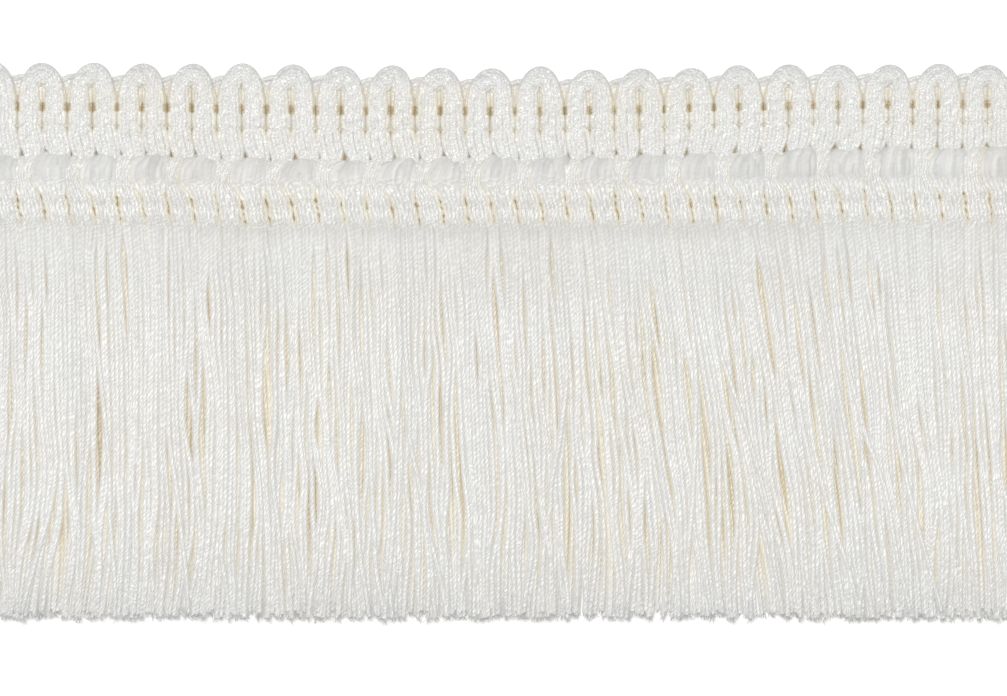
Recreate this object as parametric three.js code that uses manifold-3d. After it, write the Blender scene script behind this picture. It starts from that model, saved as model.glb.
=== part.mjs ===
// Cut brush fringe trim with a looped gimp heading, lying flat on its back.
// Millimetres. +X runs along the trim, +Y points to the scallops and +Z up from the surface below.
import * as THREE from 'three';
import { mergeGeometries, mergeVertices } from 'three/addons/utils/BufferGeometryUtils.js';
import Module from 'manifold-3d';

// Length and repeat
const SCALLOPS = 22;
const SCALLOP_PITCH = 5.39;
const LEGS = 2 * SCALLOPS;
const LEG_PITCH = SCALLOP_PITCH / 2;
const LENGTH = SCALLOPS * SCALLOP_PITCH;
const GAP = 0.3;
const SAME_PLACE = 1e-4;

// Rows of the heading and the hem, as heights above and below the middle of the trim
const TOPS_Y = 29.8;
const BAND_Y = 19.4;
const FOOT_Y = 12;
const HEM_Y = -30;

// How the trim lies: what each row is off its height, and the lean of the strands in degrees
const LIE = [
  { x: -60, tops: 0.4, band: 0.15, foot: 0.3, lean: 0 },
  { x: -42, tops: 0.2, band: 0.15, foot: 0.2, lean: 1 },
  { x: -28, tops: 0.1, band: -0.4, foot: -0.1, lean: 1.5 },
  { x: -14, tops: -0.1, band: -0.5, foot: -0.2, lean: 2 },
  { x: 0, tops: -0.3, band: -0.4, foot: -0.2, lean: 3 },
  { x: 12, tops: -0.35, band: -0.05, foot: -0.2, lean: 6 },
  { x: 24, tops: -0.1, band: 0.35, foot: -0.1, lean: 8.5 },
  { x: 36, tops: 0, band: 0.75, foot: 0.1, lean: 6.5 },
  { x: 48, tops: 0.05, band: 0.8, foot: 0.15, lean: 3.5 },
  { x: 60, tops: 0.1, band: 0.8, foot: 0.2, lean: 0 },
];

// Loop cords: flattened oval, the back one on the surface and the front one on top of it
const CORD_WIDTH = 2.4;
const BACK_CORD_THICK = 1.2;
const FRONT_CORD_THICK = 1.7;
const FRONT_CORD_Z = BACK_CORD_THICK + GAP + FRONT_CORD_THICK / 2;
const FRONT_CORD_TOP = FRONT_CORD_Z + FRONT_CORD_THICK / 2;
const BACK_CORD_DROP = 1.4;
const TURN_RADIUS = LEG_PITCH / 2;
const CORD_FOOT_Y = 15.75;
const FRONT_ARCH_STEPS = 5;
const BACK_ARCH_STEPS = 4;
const FOOT_TURN_STEPS = 3;
const ARCH_UNEVEN = 0.3;
const ARCH_TILT_RIGHT = 0.6;

// Fringe weft: backing strip under the band, and two layers of strands
const ROOF_Z = FRONT_CORD_TOP + GAP;
const ROOT_TOP_Y = CORD_FOOT_Y - GAP;
const BUNDLE_COLUMNS = 2;
const CELL_COLUMNS = 4;
const STRANDS_PER_SCALLOP = 6;
const STRANDS = SCALLOPS * STRANDS_PER_SCALLOP;
const STRAND_PITCH = LENGTH / STRANDS;
const STRAND_FILL = 0.82;
const ROOT_OVERLAP = 0.6;
const KNEE_DROP = 9;
const HEM_UNEVEN = 0.8;
const HEM_WANDER = 0.08;
const LOWER_STRAND_THICK = 1;
const UPPER_STRAND_THICK = 0.9;
const UPPER_ROOT_Z = 1.9;
const UPPER_REST_Z = 1.12;

// Binding threads: height on the heading, and what each one lies on
const THREAD_WIDTH = 0.45;
const THREAD_THICK = 0.4;
const THREAD_DIP = 0.2;
const THREADS = [
  { name: 'binding_thread_upper', y: 25, on: FRONT_CORD_TOP },
  { name: 'binding_thread_middle', y: 22.7, on: FRONT_CORD_TOP },
  { name: 'binding_thread_lower', y: 20.1, on: FRONT_CORD_TOP },
  { name: 'binding_thread_foot', y: 14.4, on: 3.7 },
];

// Top of the backing strip from the band's upper edge to the foot. It is parted every so many columns:
// between the wide cells of the band, and between the bundles below it.
const BACKING_TOP = [
  { y: 19.4, z: 3.8, parted: 0.15, every: CELL_COLUMNS },
  { y: 18.9, z: 4.2, parted: 0.3, every: CELL_COLUMNS },
  { y: 17.6, z: 4.3, parted: 0.3, every: CELL_COLUMNS },
  { y: 16.6, z: 3.95, parted: 0.22, every: BUNDLE_COLUMNS },
  { y: 15.3, z: 4.05, parted: 0.45, every: BUNDLE_COLUMNS },
  { y: 14.4, z: 3.7, parted: 0.22, every: BUNDLE_COLUMNS },
  { y: 13.3, z: 3.85, parted: 0.45, every: BUNDLE_COLUMNS },
  { y: 12, z: 3.1, parted: 0.22, every: BUNDLE_COLUMNS },
];

const WHITE = '#f1efe6';
const SOFT_WHITE = '#ece9de';
const CREAM = '#e6dfca';

const wasm = await Module();
wasm.setup();

// One value of the LIE table, eased between its rows
function lie(column, x) {
  const next = LIE.findIndex((row) => row.x > x);
  const from = LIE[next - 1];
  const to = LIE[next];
  const share = THREE.MathUtils.smoothstep(x, from.x, to.x);
  return THREE.MathUtils.lerp(from[column], to[column], share);
}

// How far a point of the trim is off its height
function drift(x, y) {
  if (y > BAND_Y) {
    return THREE.MathUtils.mapLinear(y, BAND_Y, TOPS_Y, lie('band', x), lie('tops', x));
  }
  if (y > FOOT_Y) {
    return THREE.MathUtils.mapLinear(y, FOOT_Y, BAND_Y, lie('foot', x), lie('band', x));
  }
  return THREE.MathUtils.mapLinear(y, HEM_Y, FOOT_Y, 0, lie('foot', x));
}

// A point laid where the trim's drift puts it
function laid(x, y, z) {
  return new THREE.Vector3(x, y + drift(x, y), z);
}

// Repeatable unevenness between 0 and 1, from the fraction of a fast, tall sine wave
function uneven(index, seed) {
  const wave = Math.sin(index * 12.9898 + seed * 78.233) * 43758.5453;
  return wave - Math.floor(wave);
}

// A path through stations, on which a section stays upright. Each station may widen the section.
class LaidPath extends THREE.Curve {
  constructor(points, widths = points.map(() => 1)) {
    super();
    this.points = points;
    this.widths = widths;
  }

  getUtoTmapping(u) {
    return u;
  }

  getPoint(t, target = new THREE.Vector3()) {
    const last = this.points.length - 1;
    const from = Math.min(Math.floor(t * last + 1e-6), last - 1);
    return target.lerpVectors(this.points[from], this.points[from + 1], t * last - from);
  }

  computeFrenetFrames() {
    const last = this.points.length - 1;
    const up = new THREE.Vector3(0, 0, 1);
    const tangents = this.points.map((point, index) => {
      const before = this.points[Math.max(index - 1, 0)];
      const after = this.points[Math.min(index + 1, last)];
      const inward = point.clone().sub(before).normalize();
      const outward = after.clone().sub(point).normalize();
      return inward.add(outward).normalize();
    });
    const normals = tangents.map((tangent, index) => {
      const side = up.clone().cross(tangent).normalize();
      return side.multiplyScalar(this.widths[index]);
    });
    const binormals = tangents.map(() => up.clone());
    return { tangents, normals, binormals };
  }
}

// A closed section from its corners, x across and y up
function section(corners) {
  return new THREE.Shape(corners.map(([x, y]) => new THREE.Vector2(x, y)));
}

// Flattened six-sided oval
function ovalSection(width, thick) {
  const side = width / 2;
  const flat = width / 4;
  const half = thick / 2;
  return section([[side, 0], [flat, half], [-flat, half], [-side, 0], [-flat, -half], [flat, -half]]);
}

// Three-sided, with its flat side at the height of the path
function wedgeSection(width, thick) {
  return section([[width / 2, 0], [0, thick], [-width / 2, 0]]);
}

function sweep(shape, points, widths) {
  return new THREE.ExtrudeGeometry(shape, {
    steps: points.length - 1,
    extrudePath: new LaidPath(points, widths),
    bevelEnabled: false,
  });
}

function legX(leg) {
  return -LENGTH / 2 + (leg + 0.5) * LEG_PITCH;
}

// Stations of a half turn from one leg to the next, over the top or round the foot
function turn(leg, centreY, z, steps, upward) {
  const middle = legX(leg) + TURN_RADIUS;
  const high = upward ? -ARCH_UNEVEN * uneven(leg, 1) : 0;
  const tilt = upward ? ARCH_UNEVEN * (uneven(leg, 2) + ARCH_TILT_RIGHT - 1) : 0;
  const stations = [];
  for (let step = 1; step < steps; step += 1) {
    const angle = (Math.PI * step) / steps;
    const reach = Math.sin(angle);
    const x = middle - TURN_RADIUS * Math.cos(angle) + tilt * reach;
    const y = centreY + (upward ? TURN_RADIUS + high : -TURN_RADIUS) * reach;
    stations.push(laid(x, y, z));
  }
  return stations;
}

// A cord laid back and forth: a leg, a turn, the next leg, from one end of the trim to the other
function loopedCord({ topY, z, thick, risesFirst, archSteps }) {
  const outer = TURN_RADIUS + CORD_WIDTH / 2;
  const archY = topY - outer;
  const footY = CORD_FOOT_Y + outer;
  const points = [];
  for (let leg = 0; leg < LEGS; leg += 1) {
    const rises = (leg % 2 === 0) === risesFirst;
    points.push(laid(legX(leg), rises ? footY : archY, z));
    points.push(laid(legX(leg), rises ? archY : footY, z));
    if (leg < LEGS - 1) {
      points.push(...turn(leg, rises ? archY : footY, z, rises ? archSteps : FOOT_TURN_STEPS, rises));
    }
  }
  return sweep(ovalSection(CORD_WIDTH, thick), points);
}

// The strip: a root that rests on the surface, and a thin roof over the feet of the loop cords
function backingStrip() {
  const underside = [
    [FOOT_Y, 0],
    [ROOT_TOP_Y, 0],
    [ROOT_TOP_Y, ROOF_Z],
    [BAND_Y, ROOF_Z],
  ];
  const profile = section([...underside, ...BACKING_TOP.map((row) => [row.y, row.z])]);
  const columns = LEGS * BUNDLE_COLUMNS;
  const strip = new THREE.ExtrudeGeometry(profile, { steps: columns, depth: LENGTH, bevelEnabled: false });
  const place = strip.getAttribute('position');
  for (let index = 0; index < place.count; index += 1) {
    const x = place.getZ(index) - LENGTH / 2;
    const y = place.getX(index);
    const z = place.getY(index);
    const row = BACKING_TOP.find((entry) => Math.hypot(entry.y - y, entry.z - z) < SAME_PLACE);
    const column = Math.round((place.getZ(index) / LENGTH) * columns);
    const lowered = row && column % row.every === 0 ? row.parted : 0;
    place.setXYZ(index, x, y + drift(x, y), z - lowered);
  }
  return strip;
}

// How far a strand that starts at x has moved along the trim at its cut end
function hemShift(x) {
  return (FOOT_Y - HEM_Y) * Math.tan(THREE.MathUtils.degToRad(lie('lean', x)));
}

// One strand: its root inside the strip, a knee where it comes to lie level, and its cut end
function strand(shape, x, rootZ, restZ, index, seed) {
  const spread = 1 + (hemShift(x + STRAND_PITCH / 2) - hemShift(x - STRAND_PITCH / 2)) / STRAND_PITCH;
  const share = KNEE_DROP / (FOOT_Y - HEM_Y);
  const kneeX = x + hemShift(x) * share;
  const hemX = x + hemShift(x) + HEM_WANDER * (uneven(index, seed) - 0.5);
  const hemY = HEM_Y + HEM_UNEVEN * uneven(index, seed + 1);
  const points = [
    laid(x, FOOT_Y + ROOT_OVERLAP, rootZ),
    laid(kneeX, FOOT_Y - KNEE_DROP, restZ),
    laid(hemX, hemY, restZ),
  ];
  return sweep(shape, points, [1, 1 + (spread - 1) * share, spread]);
}

function strands() {
  const width = STRAND_PITCH * STRAND_FILL;
  const lower = wedgeSection(width, LOWER_STRAND_THICK);
  const upper = wedgeSection(width, UPPER_STRAND_THICK);
  const all = [];
  for (let index = 0; index < STRANDS; index += 1) {
    const x = -LENGTH / 2 + (index + 0.5) * STRAND_PITCH;
    all.push(strand(lower, x, 0, 0, index, 3));
    if (index < STRANDS - 1) {
      all.push(strand(upper, x + STRAND_PITCH / 2, UPPER_ROOT_Z, UPPER_REST_Z, index, 5));
    }
  }
  return all;
}

function solid(geometry) {
  const bare = geometry.clone();
  bare.deleteAttribute('normal');
  bare.deleteAttribute('uv');
  const merged = mergeVertices(bare, SAME_PLACE);
  return new wasm.Manifold(new wasm.Mesh({
    numProp: 3,
    vertProperties: merged.getAttribute('position').array,
    triVerts: new Uint32Array(merged.index.array),
  }));
}

function geometryOf(body) {
  const mesh = body.getMesh();
  const geometry = new THREE.BufferGeometry();
  geometry.setAttribute('position', new THREE.BufferAttribute(mesh.vertProperties, 3));
  geometry.setIndex(new THREE.BufferAttribute(mesh.triVerts, 1));
  geometry.computeVertexNormals();
  return geometry;
}

// The fringe weft is one piece: strip and strands joined
function fringeSkirt() {
  return geometryOf(solid(backingStrip()).add(solid(mergeGeometries(strands()))));
}

// A thread that rides over each bundle and dips between them
function bindingThread({ y, on }) {
  const points = [];
  for (let half = 0; half <= 2 * LEGS; half += 1) {
    const x = -LENGTH / 2 + (half * LEG_PITCH) / 2;
    const dip = half % 2 === 0 ? THREAD_DIP : 0;
    points.push(laid(x, y, on + GAP + THREAD_DIP / 2 - dip));
  }
  return sweep(wedgeSection(THREAD_WIDTH, THREAD_THICK), points);
}

function piece(name, geometry, color, roughness) {
  const material = new THREE.MeshStandardMaterial({ color, roughness, metalness: 0 });
  const mesh = new THREE.Mesh(geometry, material);
  mesh.name = name;
  return mesh;
}

const trim = new THREE.Group();
trim.add(piece('front_loop_cord', loopedCord({
  topY: TOPS_Y,
  z: FRONT_CORD_Z,
  thick: FRONT_CORD_THICK,
  risesFirst: true,
  archSteps: FRONT_ARCH_STEPS,
}), WHITE, 0.6));
trim.add(piece('back_loop_cord', loopedCord({
  topY: TOPS_Y - BACK_CORD_DROP,
  z: BACK_CORD_THICK / 2,
  thick: BACK_CORD_THICK,
  risesFirst: false,
  archSteps: BACK_ARCH_STEPS,
}), CREAM, 0.65));
trim.add(piece('fringe_skirt', fringeSkirt(), SOFT_WHITE, 0.55));
for (const thread of THREADS) {
  trim.add(piece(thread.name, bindingThread(thread), WHITE, 0.6));
}

export default trim;
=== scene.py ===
"""Cut brush fringe trim with a looped heading, laid flat on its back and seen from straight above.

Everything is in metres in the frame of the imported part: +X along the trim, +Y to the scallops, +Z up.
The yarns are laid as paths, in millimetres, and Geometry Nodes turn the paths into yarn.
"""

import math
from functools import partial

import bpy
import numpy as np
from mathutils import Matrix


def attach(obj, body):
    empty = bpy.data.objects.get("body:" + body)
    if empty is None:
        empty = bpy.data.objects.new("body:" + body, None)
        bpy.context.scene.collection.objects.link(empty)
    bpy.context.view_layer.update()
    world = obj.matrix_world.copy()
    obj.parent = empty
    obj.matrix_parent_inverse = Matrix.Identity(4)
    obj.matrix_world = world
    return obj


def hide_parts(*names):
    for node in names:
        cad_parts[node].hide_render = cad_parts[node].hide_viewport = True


bl_info = {
    "name": "Brush fringe trim",
    "version": (1, 0, 0),
    "blender": (4, 5, 0),
    "location": "View3D > Sidebar > Fringe",
    "description": "Builds a cut brush fringe trim with a two-row looped heading, yarn by yarn",
    "category": "Object",
}

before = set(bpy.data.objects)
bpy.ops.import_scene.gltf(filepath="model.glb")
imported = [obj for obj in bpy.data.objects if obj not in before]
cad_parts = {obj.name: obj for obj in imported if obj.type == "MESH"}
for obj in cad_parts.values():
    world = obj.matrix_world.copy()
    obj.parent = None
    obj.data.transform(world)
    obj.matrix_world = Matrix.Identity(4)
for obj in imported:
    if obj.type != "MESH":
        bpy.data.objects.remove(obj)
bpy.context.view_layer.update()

MM = 0.001

# Length and repeat, in millimetres, as in the part's source
SCALLOPS = 22
SCALLOP_PITCH = 5.39
LEGS = 2 * SCALLOPS
LEG_PITCH = SCALLOP_PITCH / 2
LENGTH = SCALLOPS * SCALLOP_PITCH
TURN_RADIUS = LEG_PITCH / 2
TOPS_Y = 29.8
BAND_Y = 19.4
FOOT_Y = 12.0
HEM_Y = -30.0
CORD_HALF = 1.2
BACK_DROP = 1.15
CORD_FOOT_Y = 15.75
ARCH_UNEVEN = 0.3
ARCH_TILT_RIGHT = 0.6

# How the trim lies: height of each row above its place, and lean of the strands in degrees
LIE_X = (-60, -42, -28, -14, 0, 12, 24, 36, 48, 60)
LIE_TOPS = (0.4, 0.2, 0.1, -0.1, -0.3, -0.35, -0.1, 0, 0.05, 0.1)
LIE_BAND = (-0.05, 0.0, -0.4, -0.5, -0.4, -0.05, 0.35, 0.75, 0.8, 0.8)
LIE_FOOT = (0.3, 0.2, -0.1, -0.2, -0.2, -0.2, -0.1, 0.1, 0.15, 0.2)
LIE_LEAN = (0, 1, 1.5, 2, 3, 6, 8.5, 6.5, 3.5, 0)

# How the last stretch of the strands turns away from that lean, in degrees
CURL_X = (-60, -50, -38, -27, -16, -5, 6, 17, 28, 38, 49, 60)
CURL = (-8, -9, -7, -5, -3, -3.5, -7, -5, -3, -4, -1.5, 0)
CURL_FROM = 24.0

# Rows of the heading where the legs are bound, and half the gap between two legs there
ROW_Y = (17.5, 19.0, 19.4, 19.8, 20.3, 20.9, 22.2, 22.7, 23.1, 23.3, 24.35, 24.5, 25.45, 25.6, 26.4)
GAP_BETWEEN = (0.0, 0.0, 0.08, 0.2, 0.08, -0.06, -0.05, 0.04, 0.3, 0.04, 0.02, 0.24, 0.24, 0.12, 0.16)
GAP_INSIDE = (0.0, 0.02, 0.12, 0.28, 0.12, -0.06, -0.05, 0.04, 0.3, 0.04, 0.02, 0.27, 0.26, 0.2, 0.36)
DIP_Y = (19.0, 20.1, 21.3, 22.7, 23.8, 25.0, 26.2, 28.0)
DIP = (0.1, 0.05, 0.0, 0.14, 0.08, 0.16, 0.04, 0.0)
# Painted shade on the yarns under a cord at each height, darkest behind the bound rows where the holes are,
# and painted shade on a leg's outer yarns along the slits
DARK_Y = (18.0, 19.2, 20.2, 20.7, 22.2, 22.7, 23.1, 24.3, 24.55, 25.4, 25.65, 26.6, 27.2, 27.7)
DARK = (0.45, 0.85, 0.85, 0.45, 0.45, 0.8, 0.45, 0.5, 0.84, 0.84, 0.4, 0.35, 0.2, 0.0)
SIDE_DARK_Y = (20.5, 22.5, 26.6, 27.6)
SIDE_DARK = (0, 0.2, 0.24, 0.05)
LEG_LEAN_X = (-60, 0, 9, 16, 20, 36, 45, 60)
LEG_LEAN = (0.5, 0.5, 0.3, 0, -0.4, -0.4, -0.1, 0)

# Top of the fringe weft from the band to the foot, and the gaps between its bundles
WEFT_Y = (19.6, 19.5, 19.3, 18.9, 18.3, 17.6, 17.0, 16.6, 16.0, 15.3, 14.8, 14.4, 13.9, 13.3, 12.6, 12.0)
WEFT_Z = (3.1, 3.3, 3.55, 3.9, 4.15, 4.2, 4.1, 3.95, 4.05, 4.05, 3.85, 3.7, 3.8, 3.85, 3.5, 3.1)
SLIT_Y = (12.0, 12.4, 13.2, 14.0, 14.6, 15.4, 15.9, 16.5, 17.5, 19.0, 19.6)
SLIT_BETWEEN = (0.0, 0.09, 0.11, 0.09, 0.11, 0.12, 0.04, 0.0, 0.0, 0.03, 0.12)
SLIT_INSIDE = (0.0, 0.09, 0.11, 0.08, 0.1, 0.08, 0.03, 0.03, 0.04, 0.06, 0.16)
SWAY_Y = (15.2, 15.8, 16.5, 17.3, 18.1, 18.9, 19.5)
SWAY = (0.0, -0.25, -0.8, -1.2, -1.15, -0.65, 0.0)
FOOT_SLANT = 0.17

# Width of the strands that show, as a share of their place, and where they are plain (and a little darker in
# painted shade), woolly, deep in painted shade, or grey in painted shade, as at the hem and the tips
OVER_BAND_Y = (12, 13.5, 16.6, 17.5, 19.6)
OVER_BAND_SMOOTH = (0.95, 0.72, 0.72, 2.0, 2.0)
OVER_BAND_SLANTED = (0.95, 0.72, 0.72, 0.8, 1.0)
PLAIN_Y = (-2, 5, 9, 11.8, 12.4, 15.9, 16.9, 17.6, 19.3, 19.7)
DEPTH_Y = (9, 12, 12.8, 15.5, 16.6, 17.7, 19.2)
WOOL_Y = (-29, -12, 8, 12, 12.8, 20)
WOOL = (0.7, 0.3, 0.15, 0.3, 0.9, 0.9)
HEM_GREY_DOWN = (32, 39.5, 41, 42)
HEM_GREY = (0.0, 0.25, 0.5, 0.6)
TIP_GREY = 0.3
SLIT_SIDE_Y = (12.2, 12.8, 15.4, 16.0)
SLIT_SIDE_WIDTH = (1.0, 0.87, 0.87, 1.0)

# Yarn counts and radii
FRONT_TOP_YARNS = 6
FRONT_UNDER_YARNS = 2
FRONT_LOW_YARNS = 3
BACK_YARNS = 5
BACK_LOW_YARNS = 3
TOP_LANES = 6
MIDDLE_LANES = 6
LOWER_LANES = 4
YARN_RADIUS = 0.305
LOOP_RADIUS = 0.33
THREAD_RADIUS = 0.1
THREAD_STEP = 0.26
THREAD_TURN = 1.3
THREAD_ROWS = ((25.0, 2.7), (22.7, 2.72), (20.1, 2.7), (14.4, 3.4))
CORE_RADIUS = 0.48
CORE_ROWS = (
    (0.95, (12.6, 13.5, 14.4)),
    (1.6, (12.5, 13.4, 14.3, 15.1)),
    (2.25, (12.7, 13.6, 14.5, 15.3)),
    (3.3, (16.2, 17.0, 17.8, 18.5)),
)
FLATNESS = 0.7
FRONT_Z = 2.38
BACK_Z = 0.95

# Heights at which a strand or a leg of a cord has a point of its path
HEADING_Y = np.array([
    19.62, 19.5, 19.3, 18.9, 18.3, 17.7, 17.2, 16.8, 16.4, 16.0, 15.6, 15.2, 14.8, 14.4, 14.0, 13.6, 13.2,
    12.8, 12.4,
])
UNDER_BAND_Y = np.array([19.3, 18.6, 17.8, 17.0, 16.2, 15.5, 14.8, 14.1, 13.4, 12.7])
UNDER_FOOT_Y = np.array([15.4, 14.5, 13.5, 12.7])
LEG_Y = np.array([
    18.4, 18.9, 19.4, 19.8, 20.3, 20.9, 21.5, 22.0, 22.4, 22.8, 23.1, 23.3, 23.85, 24.35, 24.5, 24.98, 25.45,
    25.6, 26.0, 26.5, 27.0,
])

# The two layers under the strands that show, from the band or the foot to the hem, with the depth of their
# painted shade
MIDDLE_LAYER = {
    "lanes": MIDDLE_LANES, "radius": 0.27, "rest": 1.16, "under_weft": 0.62, "depth": 0.43,
    "part_count": 120, "hem_count": 8,
}
LOWER_LAYER = {
    "lanes": LOWER_LANES, "radius": 0.42, "rest": 0.45, "under_weft": 0, "depth": 0.5,
    "part_count": 40, "hem_count": 0,
}

# How many partings and strays there are, how high the strands rest, and how far they swing
TOP_PARTINGS = 600
TOP_HEM_PARTINGS = 105
STRAY_SHARE = 0.13
UNDER_STRAY_SHARE = 0.05
TOP_REST = 1.4
SWING = 0.75
UNDER_SWING = 0.6
WAVES = (7, 9, 30)

# Seeds of the pieces
FRONT_SEED, BACK_SEED, THREAD_SEED = 11, 12, 13
UPPER_SEED, MIDDLE_SEED, LOWER_SEED, CORE_SEED = 21, 22, 23, 24

# How each kind of yarn is twisted and shines, and its shares of painted shade on its sides and underside, of
# painted highlight on its crests and of painted glow, which stands in for light that comes through it
FINISHES = {
    "viscose fringe yarn": {
        "plies": 3, "shine_from": 0.62, "break_scale": 2000, "roughness": 0.36, "sheen": 0.05,
        "side_share": 0.08, "under_share": 0.08, "crest_share": 0.2, "side_glow": 0.42, "deep_glow": 0.5,
    },
    "viscose loop yarn": {
        "plies": 5, "shine_from": 0.2, "break_scale": 4200, "roughness": 0.4, "sheen": 0.05,
        "side_share": 0.02, "under_share": 0.15, "crest_share": 0.22, "side_glow": 0.18, "deep_glow": 0.7,
    },
    "loose viscose fibre": {
        "plies": 2, "shine_from": 0.3, "break_scale": 4200, "roughness": 0.4, "sheen": 0.1,
        "side_share": 0.0, "under_share": 0.0, "crest_share": 0.24, "side_glow": 0.32, "deep_glow": 0.2,
    },
}

# What each mask adds to a yarn's brightness, where deep, plain and grey are painted shade, and to its
# painted glow, an emission that stands in for light that comes through it
BRIGHTNESS = {
    "face": 0.557, "tone": 0.05, "wool": -0.035, "plain": -0.07, "streak": 0.4, "deep": -0.08, "grey": -0.08,
}
PAINTED_GLOW = {"face": 0.27, "grey": -0.14, "under": 0.2}
PAINTED_GLOW_STRENGTH = 0.6
PATCH_SCALE = 110.0
PATCH_SHARE = 0.35

# Stage, in metres but for the camera's place, which is in millimetres
FLOOR_HALF = 3.0
ROOM_LIGHT = 0.66
LAMP_PLACE = (-0.1, 0.2, 0.8)
LAMP_SIZE = 0.3
LAMP_POWER = 3.9
CAMERA_OFF = (-1.25, -0.98)
FOCUS_Z = 1.6
SENSOR_WIDTH = 36.0


def ease(x, xs, ys):
    """Value of a short table at x, eased between its rows."""
    xs = np.asarray(xs, float)
    ys = np.asarray(ys, float)
    x = np.clip(np.asarray(x, float), xs[0], xs[-1])
    at = np.clip(np.searchsorted(xs, x, side="right"), 1, len(xs) - 1)
    share = (x - xs[at - 1]) / (xs[at] - xs[at - 1])
    share = share * share * (3 - 2 * share)
    return ys[at - 1] + share * (ys[at] - ys[at - 1])


def soft_step(value):
    """Eased from 0 to 1."""
    value = np.clip(value, 0, 1)
    return value * value * (3 - 2 * value)


def drift(x, y):
    """How far a point of the trim is off its height."""
    tops, band, foot = ease(x, LIE_X, LIE_TOPS), ease(x, LIE_X, LIE_BAND), ease(x, LIE_X, LIE_FOOT)
    above = band + (tops - band) * (y - BAND_Y) / (TOPS_Y - BAND_Y)
    middle = foot + (band - foot) * (y - FOOT_Y) / (BAND_Y - FOOT_Y)
    below = foot * (y - HEM_Y) / (FOOT_Y - HEM_Y)
    return np.where(y > BAND_Y, above, np.where(y > FOOT_Y, middle, below))


def painted_shade_inside(x):
    """Share of painted shade: full inside the trim, and low at its two cut ends, where the yarns see the
    light.
    """
    return np.interp(np.abs(x), (LENGTH / 2 - 2.2, LENGTH / 2 - 1.0), (1.0, 0.12))


def uneven(index, seed):
    """Repeatable unevenness between 0 and 1, the same as the part's source has."""
    wave = math.sin(index * 12.9898 + seed * 78.233) * 43758.5453
    return wave - math.floor(wave)


class Paths:
    """Yarn paths with what each point says about its yarn."""

    def __init__(self):
        self.rows = []

    def add(self, points, radius, tone, depth=0.0, plain=0.0, wool=0.0, grey=0.0):
        points = np.asarray(points, float)
        count = len(points)
        steps = np.linalg.norm(np.diff(points, axis=0), axis=1)
        along = np.concatenate(([0.0], np.cumsum(steps)))
        one = np.ones(count)
        self.rows.append((points, radius * one, along, tone * one, depth * one, plain * one,
                          wool * one, grey * one))

    def mesh(self, name):
        counts = [len(row[0]) for row in self.rows]
        starts = np.concatenate(([0], np.cumsum(counts)[:-1]))
        edges = np.concatenate([
            np.stack((np.arange(s, s + c - 1), np.arange(s + 1, s + c)), axis=1)
            for s, c in zip(starts, counts)
        ])
        made = bpy.data.meshes.new(name)
        made.vertices.add(sum(counts))
        made.edges.add(len(edges))
        points = np.concatenate([row[0] for row in self.rows]) * MM
        made.vertices.foreach_set("co", points.astype(np.float32).ravel())
        made.edges.foreach_set("vertices", edges.astype(np.int32).ravel())
        for column, word, scale in (
            (1, "yarn_radius", MM), (2, "along", MM), (3, "tone", 1), (4, "depth", 1), (5, "plain", 1),
            (6, "wool", 1), (7, "grey", 1),
        ):
            values = np.concatenate([row[column] for row in self.rows]) * scale
            layer = made.attributes.new(word, "FLOAT", "POINT")
            layer.data.foreach_set("value", values.astype(np.float32))
        made.update()
        return made


# Node trees


def add_node(tree, kind, inputs=None, **settings):
    """New node with its settings. Each input is linked to a socket or set to a plain value."""
    made = tree.nodes.new(kind)
    for word, value in settings.items():
        setattr(made, word, value)
    for plug, value in (inputs or {}).items():
        if isinstance(value, bpy.types.NodeSocket):
            tree.links.new(value, made.inputs[plug])
        else:
            made.inputs[plug].default_value = value
    return made


def math_node(tree, operation, first, second=None, clamp=False):
    """Output of a Math node on sockets or plain numbers."""
    inputs = {0: first} if second is None else {0: first, 1: second}
    return add_node(tree, "ShaderNodeMath", inputs, operation=operation, use_clamp=clamp).outputs[0]


def socket(tree, label, kind, into=True, default=None):
    """Named input or output of a tree."""
    made = tree.interface.new_socket(label, in_out="INPUT" if into else "OUTPUT", socket_type=kind)
    if default is not None:
        made.default_value = default


def stored(tree, geometry, word, value, kind):
    """The geometry, whose points carry a value under a word."""
    inputs = {"Geometry": geometry, "Name": word, "Value": value}
    node = add_node(tree, "GeometryNodeStoreNamedAttribute", inputs, data_type=kind, domain="POINT")
    return node.outputs["Geometry"]


def yarn_profile(tree, sides, flatness):
    """Round section of a yarn, on which each point knows its direction from the middle."""
    inputs = {"Radius": 1.0, "Resolution": sides}
    circle = add_node(tree, "GeometryNodeCurvePrimitiveCircle", inputs, mode="RADIUS")
    place = add_node(tree, "GeometryNodeInputPosition")
    known = stored(tree, circle.outputs["Curve"], "around", place.outputs[0], "FLOAT_VECTOR")
    flat = add_node(tree, "ShaderNodeCombineXYZ", {"X": 1.0, "Y": flatness, "Z": 1.0})
    return add_node(tree, "GeometryNodeTransform", {"Geometry": known, "Scale": flat.outputs[0]}).outputs[0]


def finished(tree, geometry, material, out):
    """Smooth shading, Realize Instances and Set Material at the end of a tree."""
    smooth = add_node(tree, "GeometryNodeSetShadeSmooth", {"Geometry": geometry})
    real = add_node(tree, "GeometryNodeRealizeInstances", {"Geometry": smooth.outputs[0]})
    dressed = add_node(tree, "GeometryNodeSetMaterial", {"Geometry": real.outputs[0], "Material": material})
    tree.links.new(dressed.outputs[0], out)


def swept(tree, curve, profile, radius):
    """Mesh of a section that runs along a curve and stays upright."""
    upright = add_node(tree, "GeometryNodeSetCurveNormal", {"Curve": curve}, mode="Z_UP")
    return add_node(tree, "GeometryNodeCurveToMesh", {
        "Curve": upright.outputs["Curve"], "Profile Curve": profile, "Scale": radius, "Fill Caps": True,
    }).outputs["Mesh"]


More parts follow.
